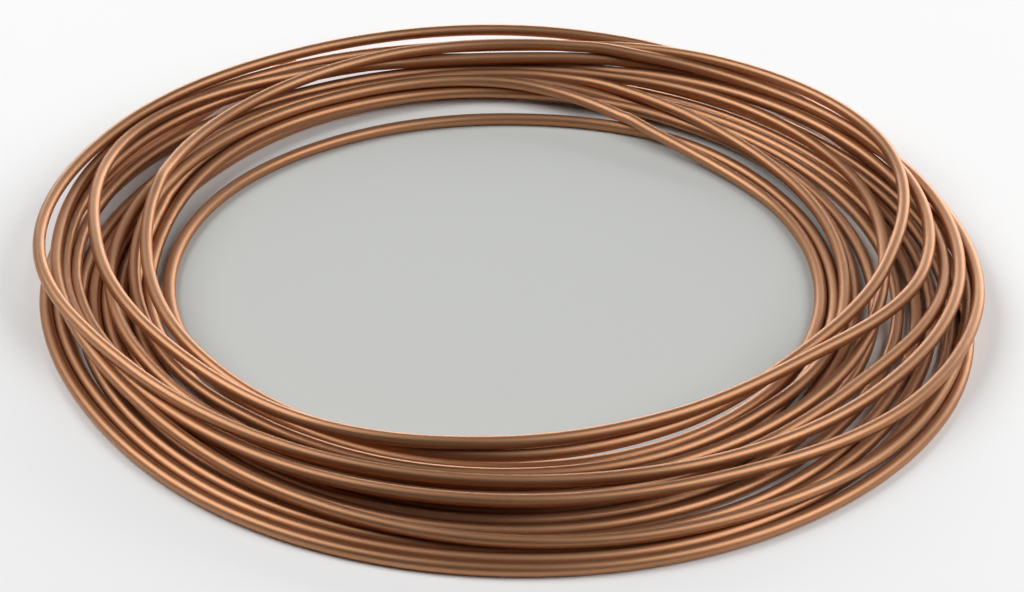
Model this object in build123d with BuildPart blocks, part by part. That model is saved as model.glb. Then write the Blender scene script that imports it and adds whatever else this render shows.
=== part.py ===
from build123d import *
from math import pi, tan
import os

os.makedirs("parts", exist_ok=True)

# A loose coil of small soft-drawn copper tube, lying flat with its underside at zero and its axis on Z.
# Every length is in millimetres and every angle in degrees, anticlockwise from X.

# The tube itself.
tube_diameter = 4.75
tube_wall = 0.7

# The bundle of turns: its eye, its overall width and the height that most of it lies at.
eye_diameter = 238.0
coil_diameter = 356.0
bundle_height = 8.9
# The turns that show stand about this far apart, a little more than the tube's own width.
turn_pitch = 5.3

# The last turns wound lie across the bundle, from over its inner side at the front to over its outer
# side at the back, and pile up to the coil's full height. They are this wide between turns' middles.
coil_height = 22.6
upper_turns_width = 7.6
upper_turns_margin = 1.4

# Under the bundle only a few turns bear on the floor, and the core between them is this far above it.
bearing_turns = 3
underside_lift = 1.2

# Both free ends leave the lowest outer turn at the back and point at each other, one going
# anticlockwise and one clockwise. Each starts a little inside the turn and just clear of the floor,
# runs straight off it, bends a little the turn's way and is straight again up to its open mouth.
free_ends = ((33.0, 1), (147.0, -1))
free_end_root = 1.2
free_end_lift = 1.0
free_end_run = 52.0
free_end_bend_radius = 120.0
free_end_bend_angle = 6.0
free_end_straight = 30.0
open_bore_depth = 18.0

tube_radius = tube_diameter / 2
eye_radius = eye_diameter / 2
coil_radius = coil_diameter / 2
inner_turn_radius = eye_radius + tube_radius
outer_turn_radius = coil_radius - tube_radius
# A turn that shows is a rib with three flats, those of an eight-sided tube of the same diameter.
half_flat = tube_radius * tan(pi / 8)


def ribbed_skin(arch):
    """Corners of a skin over turns that stand evenly along an arch: each turn has an outer flat, and
    meets the next in a groove."""
    gap_count = round(arch.length / turn_pitch)

    def beside_arch(share, outward, along):
        heading = arch % share
        outward_way = Vector(heading.Y, -heading.X)
        return arch @ share + outward_way * outward + heading * along

    corners = []
    for i in range(gap_count + 1):
        corners.append(beside_arch(i / gap_count, tube_radius, -half_flat))
        corners.append(beside_arch(i / gap_count, tube_radius, half_flat))
        if i < gap_count:
            corners.append(beside_arch((i + 0.5) / gap_count, half_flat, 0))
    return corners


# The bundle's arch runs through the middles of the turns that show, from the lowest outer turn up,
# across the top and down to the lowest inner one.
bundle_arch = FilletPolyline(
    (outer_turn_radius, tube_radius),
    (outer_turn_radius, bundle_height - tube_radius),
    (inner_turn_radius, bundle_height - tube_radius),
    (inner_turn_radius, tube_radius),
    radius=(bundle_height - tube_diameter) * 0.9,
)

# The upper turns stand half sunk in the bundle, as a narrow ring of their own that is as far off
# the coil's axis, towards the back, as it can go without leaving the bundle.
upper_turns_radius = (inner_turn_radius + outer_turn_radius) / 2
upper_turns_shift = (coil_radius - eye_radius) / 2 - upper_turns_width / 2 - tube_radius - upper_turns_margin
upper_arch = EllipticalCenterArc(
    (upper_turns_radius, bundle_height / 2),
    upper_turns_width / 2,
    coil_height - tube_radius - bundle_height / 2,
    start_angle=0,
    arc_size=180,
)

# The underside, from the inner turn outwards: each bearing turn stands on a flat, between bevels.
underside = []
for i in range(bearing_turns):
    bearing_radius = inner_turn_radius + (outer_turn_radius - inner_turn_radius) * i / (bearing_turns - 1)
    if i > 0:
        underside.append((bearing_radius - half_flat - underside_lift, underside_lift))
    underside.append((bearing_radius - half_flat, 0))
    underside.append((bearing_radius + half_flat, 0))
    if i < bearing_turns - 1:
        underside.append((bearing_radius + half_flat + underside_lift, underside_lift))

with BuildPart() as copper_tube:
    with BuildSketch(Plane.XZ):
        with BuildLine():
            Polyline(*ribbed_skin(bundle_arch), *underside, close=True)
        make_face()
    revolve(axis=Axis.Z)

    with BuildSketch(Plane.XZ.offset(-upper_turns_shift)):
        with BuildLine():
            Polyline(*ribbed_skin(upper_arch), close=True)
        make_face()
    revolve(axis=Axis((0, upper_turns_shift, 0), (0, 0, 1)))

    for leaving_angle, way_round in free_ends:
        leaving_plane = Plane.XY.offset(tube_radius + free_end_lift).rotated((0, 0, leaving_angle))
        with BuildLine(leaving_plane) as route:
            root = (outer_turn_radius - free_end_root, 0)
            run = Line(root, (root[0], way_round * free_end_run))
            bend = JernArc(run @ 1, run % 1, free_end_bend_radius, way_round * free_end_bend_angle)
            Line(bend @ 1, bend @ 1 + (bend % 1) * free_end_straight)
        with BuildSketch(Plane(origin=route.line @ 0, z_dir=route.line % 0)):
            Circle(tube_radius)
        sweep(path=route.line)
        with BuildSketch(Plane(origin=route.line @ 1, z_dir=route.line % 1)):
            Circle(tube_radius - tube_wall)
        extrude(amount=-open_bore_depth, mode=Mode.SUBTRACT)
        print("free end's mouth", tuple(route.line @ 1), "pointing", tuple(route.line % 1))

copper_tube.part.label = "copper_tube"
export_step(copper_tube.part, "parts/copper_tube.step")
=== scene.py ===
import math

import bmesh
import bpy
import numpy as np
from mathutils import Matrix, Vector


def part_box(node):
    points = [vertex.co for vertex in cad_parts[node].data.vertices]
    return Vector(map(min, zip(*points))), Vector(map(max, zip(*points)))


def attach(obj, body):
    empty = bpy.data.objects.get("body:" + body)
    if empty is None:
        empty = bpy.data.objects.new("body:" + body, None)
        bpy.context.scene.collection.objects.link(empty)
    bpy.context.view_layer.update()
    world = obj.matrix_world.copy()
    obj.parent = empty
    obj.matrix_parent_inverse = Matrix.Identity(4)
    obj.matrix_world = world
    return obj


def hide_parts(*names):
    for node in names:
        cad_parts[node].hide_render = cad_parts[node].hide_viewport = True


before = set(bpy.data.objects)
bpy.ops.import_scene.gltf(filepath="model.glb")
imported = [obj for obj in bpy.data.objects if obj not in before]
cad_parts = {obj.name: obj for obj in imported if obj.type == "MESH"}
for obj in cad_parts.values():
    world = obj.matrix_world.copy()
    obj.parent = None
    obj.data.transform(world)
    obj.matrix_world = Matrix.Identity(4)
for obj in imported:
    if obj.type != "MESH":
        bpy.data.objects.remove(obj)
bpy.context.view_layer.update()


# The copper tube: one length of small soft-drawn tube, wound by hand round a drum, slipped off and
# laid flat, so that its 17 turns have sprung loose, shifted and crossed. Both ends are cut square
# and left open. Here the turns are laid as listed and then let down on to each other and the floor.
tube_mm = 4.75
tube = tube_mm / 1000
wall = 0.0007
open_bore = 0.018
steps_round = 240
step_angle = 360 / steps_round

# Each row is a turn, from the back round the left, the front and the right to the back again: how
# far it lies from the coil's middle at every 30 degrees, in tube diameters.
turn_reach = (
    (36.7, 36.7, 36.7, 36.2, 35.4, 35.8, 36.0, 36.2, 36.1, 35.8, 35.6, 35.8),
    (36.0, 35.9, 35.7, 35.2, 34.3, 34.7, 34.9, 35.1, 35.0, 34.8, 34.6, 34.8),
    (35.0, 34.3, 33.1, 33.4, 33.2, 33.5, 33.8, 34.0, 33.2, 33.2, 33.4, 33.7),
    (34.0, 33.3, 32.1, 32.3, 32.1, 32.4, 32.7, 32.9, 32.0, 32.0, 32.3, 32.7),
    (33.0, 32.3, 31.1, 31.2, 31.0, 31.3, 31.6, 31.2, 30.4, 30.6, 31.2, 31.9),
    (32.0, 31.3, 30.1, 30.2, 29.9, 30.2, 30.4, 29.8, 28.6, 28.8, 29.6, 31.0),
    (32.5, 32.0, 30.8, 29.3, 28.9, 29.0, 29.2, 28.4, 26.8, 27.2, 28.4, 30.2),
    (31.5, 31.0, 29.8, 28.5, 27.2, 27.5, 28.0, 26.9, 25.4, 25.7, 26.7, 27.7),
    (27.2, 27.1, 27.2, 26.6, 25.6, 24.6, 24.0, 23.9, 24.0, 24.6, 25.6, 26.7),
    (31.0, 31.4, 30.6, 29.3, 28.0, 26.6, 25.8, 25.8, 26.0, 26.5, 28.0, 29.8),
    (32.8, 32.8, 31.8, 31.2, 29.6, 28.4, 27.6, 27.5, 28.3, 29.4, 32.4, 33.9),
    (33.9, 34.2, 35.2, 34.0, 31.4, 30.2, 29.5, 29.3, 30.2, 34.2, 35.2, 35.0),
    (35.0, 35.6, 36.4, 34.9, 32.6, 31.2, 30.6, 31.4, 34.7, 36.8, 37.0, 36.9),
    (36.8, 36.8, 37.3, 36.7, 32.2, 29.6, 28.6, 29.8, 32.2, 35.3, 36.7, 36.4),
    (34.0, 35.0, 36.2, 32.1, 28.5, 26.8, 24.9, 24.3, 26.0, 32.5, 35.9, 35.8),
    (35.0, 33.6, 31.2, 28.3, 26.6, 25.8, 25.1, 24.3, 24.9, 29.5, 35.6, 36.6),
    (35.9, 36.4, 36.8, 35.2, 32.6, 33.2, 34.0, 34.8, 35.4, 35.9, 36.7, 36.7),
)
# How high each turn is laid at the same places, before it is let down.
turn_height = (
    (0.7, 0.7, 0.7, 0.5, 0.5, 0.5, 0.5, 0.5, 0.5, 0.5, 0.5, 0.5),
    (0.5, 0.5, 0.5, 0.5, 0.5, 0.5, 0.5, 0.5, 0.5, 0.5, 0.5, 0.5),
    (0.5, 0.5, 0.5, 0.5, 0.5, 0.5, 0.5, 0.5, 0.5, 0.5, 0.5, 0.5),
    (0.5, 0.5, 0.5, 0.5, 0.5, 0.5, 0.5, 0.5, 0.5, 0.5, 0.5, 0.5),
    (0.5, 0.5, 0.5, 0.5, 0.5, 0.5, 0.5, 0.5, 0.5, 0.5, 0.5, 0.5),
    (0.5, 0.5, 0.5, 0.5, 0.5, 0.5, 0.5, 0.5, 0.5, 0.5, 0.5, 0.5),
    (1.4, 1.4, 1.4, 0.5, 0.5, 0.5, 0.5, 0.5, 0.6, 0.7, 1.0, 1.4),
    (1.4, 1.4, 1.4, 0.5, 0.5, 0.5, 0.5, 0.5, 0.5, 0.5, 0.5, 0.5),
    (0.5, 0.5, 0.5, 0.5, 0.5, 0.5, 0.5, 0.5, 0.5, 0.5, 0.5, 1.0),
    (1.6, 1.8, 2.2, 1.6, 1.4, 1.4, 1.4, 1.4, 1.4, 1.4, 1.6, 1.6),
    (1.4, 1.6, 2.2, 1.6, 1.4, 1.4, 1.4, 1.8, 2.2, 2.4, 2.2, 2.2),
    (1.6, 1.6, 1.4, 1.4, 1.8, 2.0, 2.0, 2.2, 2.6, 2.6, 2.4, 2.6),
    (2.4, 2.3, 2.6, 2.2, 2.4, 2.6, 2.6, 2.6, 2.6, 2.3, 1.9, 3.1),
    (4.1, 4.1, 4.0, 3.8, 3.4, 3.0, 2.8, 2.8, 3.0, 3.0, 2.8, 2.1),
    (2.9, 3.1, 3.7, 3.8, 3.8, 3.6, 3.5, 3.5, 3.5, 3.4, 3.3, 3.3),
    (3.5, 3.4, 3.4, 2.9, 2.9, 2.7, 2.7, 2.6, 3.0, 3.7, 4.1, 4.1),
    (3.0, 3.1, 3.0, 2.8, 2.4, 2.0, 1.6, 1.2, 0.9, 0.7, 0.7, 0.7),
)
turns = len(turn_reach)

# Both free ends run straight off the outer turn, bend a little and are straight again to their
# open mouths, just as in the CAD model. Lengths in tube diameters, and the angles where they leave.
on_the_floor = 0.5
coil_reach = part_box("copper_tube")[1][0] / tube
end_root = coil_reach - 0.5 - 1.2 / tube_mm
end_height = on_the_floor + 1.0 / tube_mm
end_run = 52.0 / tube_mm
end_bend = 120.0 / tube_mm
end_bend_angle = math.radians(6.0)
end_straight = 30.0 / tube_mm
first_leaves = 147.0
last_leaves = 33.0


def free_end(leaving, way):
    """Plan points of one free end, from the outer turn to its mouth, in tube diameters."""
    outward = np.array((math.cos(math.radians(leaving)), math.sin(math.radians(leaving))))
    along = way * np.array((-outward[1], outward[0]))
    points = [end_root * outward + share * end_run * along for share in np.linspace(0, 1, 15)]
    bend_start = points[-1]
    for share in np.linspace(0, 1, 5)[1:]:
        turned = end_bend_angle * share
        points.append(
            bend_start
            + end_bend * (math.sin(turned) * along - (1 - math.cos(turned)) * outward)
        )
    heading = math.cos(end_bend_angle) * along - math.sin(end_bend_angle) * outward
    bent = points[-1]
    points += [bent + share * end_straight * heading for share in np.linspace(0, 1, 9)[1:]]
    return np.array(points)


def smooth_between(places, known_places, known):
    """A smooth line through the known values, read at these places."""
    i = np.clip(np.searchsorted(known_places, places, side="right") - 1, 0, len(known_places) - 2)
    span = known_places[i + 1] - known_places[i]
    t = (places - known_places[i]) / span
    slope = np.gradient(known, known_places)
    return (
        (2 * t**3 - 3 * t**2 + 1) * known[i]
        + (t**3 - 2 * t**2 + t) * span * slope[i]
        + (3 * t**2 - 2 * t**3) * known[i + 1]
        + (t**3 - t**2) * span * slope[i + 1]
    )


# The tables begin at the back. The route itself runs from where the first free end leaves it to
# where the last one does.
back = 90.0
knots_round = 12
knot_angles = back + 360.0 / knots_round * np.arange(knots_round * turns + 1)
last_angle = 360.0 * turns + last_leaves
step_count = round((last_angle - first_leaves) / step_angle)
station_angles = first_leaves + step_angle * np.arange(step_count + 1)
laid_reach = smooth_between(station_angles, knot_angles, np.append(np.ravel(turn_reach), end_root))
laid_height = smooth_between(station_angles, knot_angles, np.append(np.ravel(turn_height), end_height))

# A tube this stiff spreads each push over a few diameters either way, like a beam on a soft bed.
stiff_steps = 4.5
spread = np.arange(-int(7 * stiff_steps), int(7 * stiff_steps) + 1) / stiff_steps
stiffness = np.exp(-abs(spread)) * (np.cos(abs(spread)) + np.sin(abs(spread)))
stiffness /= stiffness.sum()
spread_steps = len(spread) // 2


def stiffened(line):
    before = 2 * line[0] - line[spread_steps:0:-1]
    after = 2 * line[-1] - line[-2:-spread_steps - 2:-1]
    return np.convolve(np.concatenate((before, line, after)), stiffness, "valid")


# Crossing turns are pushed apart to a little more than a diameter, part of the way in each round.
# While they settle they also sink, faster at first, and are drawn back towards where they were laid.
turn_gap = 1.015
never_zero = 1e-9
rounds = 1200
settling_rounds = 0.85 * rounds
last_free_rounds = 12
push_share = 0.9
fast_sink, slow_sink = 0.015, 0.006
height_spring, reach_spring = 0.04, 0.03
settling_give, later_give = 0.5, 0.3
settling_turn, later_turn = 2, 10
held_stations = 4


def lay_down(reach, height):
    """Let the turns down until each one rests on the floor or on the turns that it crosses."""
    held = slice(0, held_stations), slice(len(reach) - held_stations, len(reach))
    wanted_reach = reach.copy()
    wanted_height = height.copy()
    reach = reach.copy()
    height = np.maximum(height, on_the_floor)
    for step in range(rounds):
        settling = step < settling_rounds
        slant = np.gradient(reach, math.radians(step_angle)) / reach
        squareness = 1 / np.sqrt(1 + slant**2)
        push_out = np.zeros(len(reach))
        push_up = np.zeros(len(reach))
        touches = np.ones(len(reach))
        for apart in range(steps_round, len(reach), steps_round):
            across = (reach[apart:] - reach[:-apart]) * (squareness[apart:] + squareness[:-apart]) / 2
            above = height[apart:] - height[:-apart]
            near = np.nonzero(across**2 + above**2 < turn_gap**2)[0]
            far = near + apart
            between = np.hypot(across[near], above[near]) + never_zero
            share = 0.5 * (turn_gap / between - 1)
            push_out[near] -= share * across[near]
            push_out[far] += share * across[near]
            push_up[near] -= share * above[near]
            push_up[far] += share * above[near]
            touches[near] += 1
            touches[far] += 1
        shared = np.sqrt(np.maximum(touches - 1, 1))
        reach += push_share * push_out / shared
        height += push_share * push_up / shared
        if settling:
            height -= fast_sink if step < rounds / 2 else slow_sink
            height += height_spring * (wanted_height - height)
            reach += reach_spring * (wanted_reach - reach)
        straightens = step % (settling_turn if settling else later_turn) == 0
        if straightens and step < rounds - last_free_rounds:
            give = settling_give if settling else later_give
            reach += give * (wanted_reach + stiffened(reach - wanted_reach) - reach)
            height += give * (stiffened(height) - height)
        height = np.maximum(height, on_the_floor)
        for end in held:
            reach[end] = end_root
            height[end] = end_height
    return reach, height


reach, height = lay_down(laid_reach, laid_height)

plan_angle = np.radians(station_angles)
turned_route = np.column_stack((reach * np.cos(plan_angle), reach * np.sin(plan_angle), height))
first_end = free_end(first_leaves, -1)
last_end = free_end(last_leaves, 1)
first_end = np.column_stack((first_end, np.full(len(first_end), end_height)))[:0:-1]
last_end = np.column_stack((last_end, np.full(len(last_end), end_height)))[1:]
route = tube * np.vstack((first_end, turned_route, last_end))


def swept_tube(route, radius, bore, bore_depth, sides):
    """The tube's outside swept along the route, with a square-cut open bore at both ends."""
    ahead = np.gradient(route, axis=0)
    ahead /= np.linalg.norm(ahead, axis=1)[:, None]
    # The seam stays on the tube's outer side, because every part of the route lies nearly flat.
    side = np.cross(ahead, (0.0, 0.0, 1.0))
    side /= np.linalg.norm(side, axis=1)[:, None]
    top = np.cross(side, ahead)
    length = np.concatenate(((0.0,), np.cumsum(np.linalg.norm(np.diff(route, axis=0), axis=1))))
    round_angle = np.arange(sides) * 2 * math.pi / sides
    sideways = np.cos(round_angle)[None, :, None] * side[:, None, :]
    upwards = np.sin(round_angle)[None, :, None] * top[:, None, :]
    ring = sideways + upwards
    outside = route[:, None, :] + radius * ring

    deep_first = np.searchsorted(length, bore_depth)
    deep_last = len(length) - np.searchsorted(length[-1] - length[::-1], bore_depth) - 1
    inside_first = (route[:, None, :] + bore * ring)[: deep_first + 1][::-1]
    inside_last = (route[:, None, :] + bore * ring)[deep_last:][::-1]
    rings = np.concatenate((inside_first, outside, inside_last))
    ring_length = np.concatenate((length[: deep_first + 1][::-1], length, length[deep_last:][::-1]))

    points = [tuple(p) for p in rings.reshape(-1, 3)]
    faces = []
    for i in range(len(rings) - 1):
        a, b = i * sides, (i + 1) * sides
        faces += [(a + j, b + j, b + (j + 1) % sides, a + (j + 1) % sides) for j in range(sides)]
    faces.append(tuple(range(sides)))
    faces.append(tuple(reversed(range((len(rings) - 1) * sides, len(rings) * sides))))
    mesh = bpy.data.meshes.new("copper_tube_coil")
    mesh.from_pydata(points, [], faces)
    along = mesh.uv_layers.new(name="along_tube")
    reading = np.zeros((len(mesh.loops), 2))
    place = 0
    for i in range(len(rings) - 1):
        u0, u1 = ring_length[i], ring_length[i + 1]
        for j in range(sides):
            reading[place: place + 4] = (
                (u0, j / sides), (u1, j / sides), (u1, (j + 1) / sides), (u0, (j + 1) / sides)
            )
            place += 4
    along.data.foreach_set("uv", reading.ravel())
    mesh.polygons.foreach_set("use_smooth", [True] * len(mesh.polygons))
    return mesh, float(length[-1])


tube_sides = 20
coil_mesh, tube_length = swept_tube(route, tube / 2, tube / 2 - wall, open_bore, tube_sides)
coil = bpy.data.objects.new("copper_tube_coil", coil_mesh)
bpy.context.scene.collection.objects.link(coil)

# The cut edges at both mouths stay sharp, and the faces all point outwards.
shell = bmesh.new()
shell.from_mesh(coil_mesh)
bmesh.ops.recalc_face_normals(shell, faces=shell.faces)
shell.to_mesh(coil_mesh)
shell.free()
bpy.ops.object.select_all(action="DESELECT")
coil.select_set(True)
bpy.context.view_layer.objects.active = coil
bpy.ops.object.shade_smooth_by_angle(angle=math.radians(50))
highest = float(route[:, 2].max() + tube / 2)
print("tube length", round(tube_length, 3), "m, highest", round(highest * 1000, 2), "mm")


# Bare copper that has been handled: a dull orange-tan skin, a little browner where it has tarnished,
# with fine lines along the tube from the drawing die and paler, rubbed places.
class Reading:
    """A number at one socket of a material; arithmetic on it adds Math nodes."""

    def __init__(self, tree, socket):
        self.tree = tree
        self.socket = socket

    def maths(self, operation, first, second):
        node = self.tree.nodes.new("ShaderNodeMath")
        node.operation = operation
        for socket, value in zip(node.inputs, (first, second)):
            if isinstance(value, Reading):
                self.tree.links.new(value.socket, socket)
            else:
                socket.default_value = value
        return Reading(self.tree, node.outputs[0])

    def __add__(self, other):
        return self.maths("ADD", self, other)

    def __radd__(self, other):
        return self.maths("ADD", other, self)

    def __sub__(self, other):
        return self.maths("SUBTRACT", self, other)

    def __mul__(self, other):
        return self.maths("MULTIPLY", self, other)


class Finish:
    """A material being made: node() adds any node with its settings and its sockets' values."""

    def __init__(self, name):
        self.material = bpy.data.materials.new(name)
        self.material.use_nodes = True
        self.tree = self.material.node_tree
        self.shader = self.tree.nodes["Principled BSDF"]

    def node(self, kind, settings=None, sockets=None, out=0):
        node = self.tree.nodes.new("ShaderNode" + kind)
        for name, value in (settings or {}).items():
            if name == "stops":
                while len(node.color_ramp.elements) < len(value):
                    node.color_ramp.elements.new(1.0)
                for element, (position, colour) in zip(node.color_ramp.elements, value):
                    element.position = position
                    element.color = (*colour, 1.0)
            else:
                setattr(node, name, value)
        for name, value in (sockets or {}).items():
            self.set(node.inputs[name], value)
        return Reading(self.tree, node.outputs[out])

    def set(self, socket, value):
        if isinstance(value, Reading):
            self.tree.links.new(value.socket, socket)
        else:
            socket.default_value = value

    def feed(self, **sockets):
        for name, value in sockets.items():
            self.set(self.shader.inputs[name.replace("_", " ")], value)


copper = Finish("soft_drawn_copper")
place = copper.node("TexCoord", out=3)
uv = copper.node("UVMap", {"uv_map": "along_tube"})
split = copper.node("SeparateXYZ", sockets={"Vector": uv})
length_along = Reading(copper.tree, split.socket.node.outputs[0])
turn_round = Reading(copper.tree, split.socket.node.outputs[1])
round_x = copper.node("Math", {"operation": "COSINE"}, {0: turn_round * (2 * math.pi)})
round_y = copper.node("Math", {"operation": "SINE"}, {0: turn_round * (2 * math.pi)})


def noise_on_tube(across, along, detail, roughness):
    """Noise laid on the tube's skin, as fine as asked for across it and along each metre."""
    skin_place = copper.node(
        "CombineXYZ",
        sockets={"X": round_x * across, "Y": round_y * across, "Z": length_along * along},
    )
    return copper.node(
        "TexNoise",
        sockets={"Vector": skin_place, "Scale": 1.0, "Detail": detail, "Roughness": roughness},
    )


def noise_in_place(scale, detail, roughness):
    return copper.node(
        "TexNoise",
        sockets={"Vector": place, "Scale": scale, "Detail": detail, "Roughness": roughness},
    )


drawn_lines = noise_on_tube(across=5.0, along=14.0, detail=3.0, roughness=0.6)
tarnish = noise_on_tube(across=0.7, along=9.0, detail=4.0, roughness=0.55)
handled = noise_in_place(scale=26.0, detail=3.0, roughness=0.5)
grain = noise_in_place(scale=900.0, detail=2.0, roughness=0.6)

tarnished = (0.39, 0.176, 0.082)
dull = (0.50, 0.247, 0.127)
bright = (0.60, 0.325, 0.18)
rubbed = (0.56, 0.305, 0.17, 1.0)
tarnish_colour = copper.node(
    "ValToRGB",
    {"stops": ((0.30, tarnished), (0.52, dull), (0.72, bright))},
    {"Fac": tarnish * 0.7 + drawn_lines * 0.3},
)
rubbed_colour = copper.node(
    "Mix",
    {"data_type": "RGBA", "blend_type": "MIX"},
    {0: handled * 0.5, 6: tarnish_colour, 7: rubbed},
    out=2,
)
copper.feed(
    Base_Color=rubbed_colour,
    Metallic=1.0,
    Roughness=0.40 + handled * 0.12 + grain * 0.08 - drawn_lines * 0.05,
    Normal=copper.node(
        "Bump",
        sockets={"Strength": 0.35, "Distance": 0.00006, "Height": drawn_lines + grain * 0.4},
    ),
)
coil_mesh.materials.append(copper.material)
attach(coil, "root")
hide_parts("copper_tube")


# The table: a plain sheet of pale card with painted shade coloured in, so it is greyer under and
# inside the coil than round it.
bpy.ops.object.select_all(action="DESELECT")
bpy.ops.mesh.primitive_plane_add(size=6.0, location=(0, 0, 0))
floor = bpy.context.object
floor.name = "floor"
card = Finish("pale_card_with_painted_shade")
# Painted shade: the card is coloured grey under and inside the coil, and white beyond it.
painted_shade_grey = (0.58, 0.59, 0.57)
white_card = (0.95, 0.95, 0.95)
from_middle = card.node(
    "VectorMath", {"operation": "LENGTH"}, {0: card.node("TexCoord", out=3)}, out=1
)
card.feed(
    Base_Color=card.node(
        "ValToRGB",
        {"stops": ((0.0, painted_shade_grey), (0.125, painted_shade_grey), (0.165, white_card))},
        {"Fac": from_middle},
    ),
    Roughness=0.9,
)
floor.data.materials.append(card.material)


# Soft studio light: a broad lamp high on each side and a long low one behind, in a dim room, so
# that the turns at the sides shine and those running straight across the view stay dark.
def soft_lamp(name, place, size, power):
    lamp = bpy.data.lights.new(name, "AREA")
    lamp.shape = "RECTANGLE"
    lamp.size, lamp.size_y = size
    lamp.energy = power
    holder = bpy.data.objects.new(name, lamp)
    holder.location = place
    holder.rotation_euler = (-Vector(place)).to_track_quat("-Z", "Y").to_euler()
    holder.visible_camera = False
    bpy.context.scene.collection.objects.link(holder)


soft_lamp("left_lamp", (-1.06, 0.16, 1.2), (1.2, 1.2), 17.0)
soft_lamp("right_lamp", (1.13, -0.37, 1.07), (1.2, 1.2), 16.0)
soft_lamp("back_lamp", (0.41, 1.52, 0.33), (3.0, 0.6), 28.0)

studio = bpy.data.worlds.new("studio")
bpy.context.scene.world = studio
studio.use_nodes = True
studio.node_tree.nodes["Background"].inputs["Color"].default_value = (0.95, 0.97, 1.0, 1.0)
studio.node_tree.nodes["Background"].inputs["Strength"].default_value = 0.04


# The camera: a long lens from the front, 33 degrees above the table and turned about a degree.
look_down = math.radians(32.7)
lean = math.radians(1.15)
away_in_tubes = 256.0
away = away_in_tubes * tube
tube_in_pixels = 12.7
picture_width, picture_height = 1024, 592
middle_column, middle_row = 507.75, 295.3
right = Vector((1, 0, 0))
forward = Vector((0, math.cos(look_down), -math.sin(look_down)))
upward = Vector((0, math.sin(look_down), math.cos(look_down)))
camera_right = math.cos(lean) * right + math.sin(lean) * upward
camera_up = -math.sin(lean) * right + math.cos(lean) * upward
camera = bpy.data.objects.new("camera", bpy.data.cameras.new("camera"))
camera.matrix_world = Matrix.Translation(-away * forward) @ Matrix(
    (camera_right, camera_up, -forward)
).transposed().to_4x4()
camera.data.lens = camera.data.sensor_width * tube_in_pixels * away_in_tubes / picture_width
camera.data.shift_x = (picture_width / 2 - middle_column) / picture_width
camera.data.shift_y = (middle_row - picture_height / 2) / picture_width
camera.data.clip_end = 20.0
bpy.context.scene.collection.objects.link(camera)
bpy.context.scene.camera = camera
bpy.context.scene.view_settings.view_transform = "Standard"
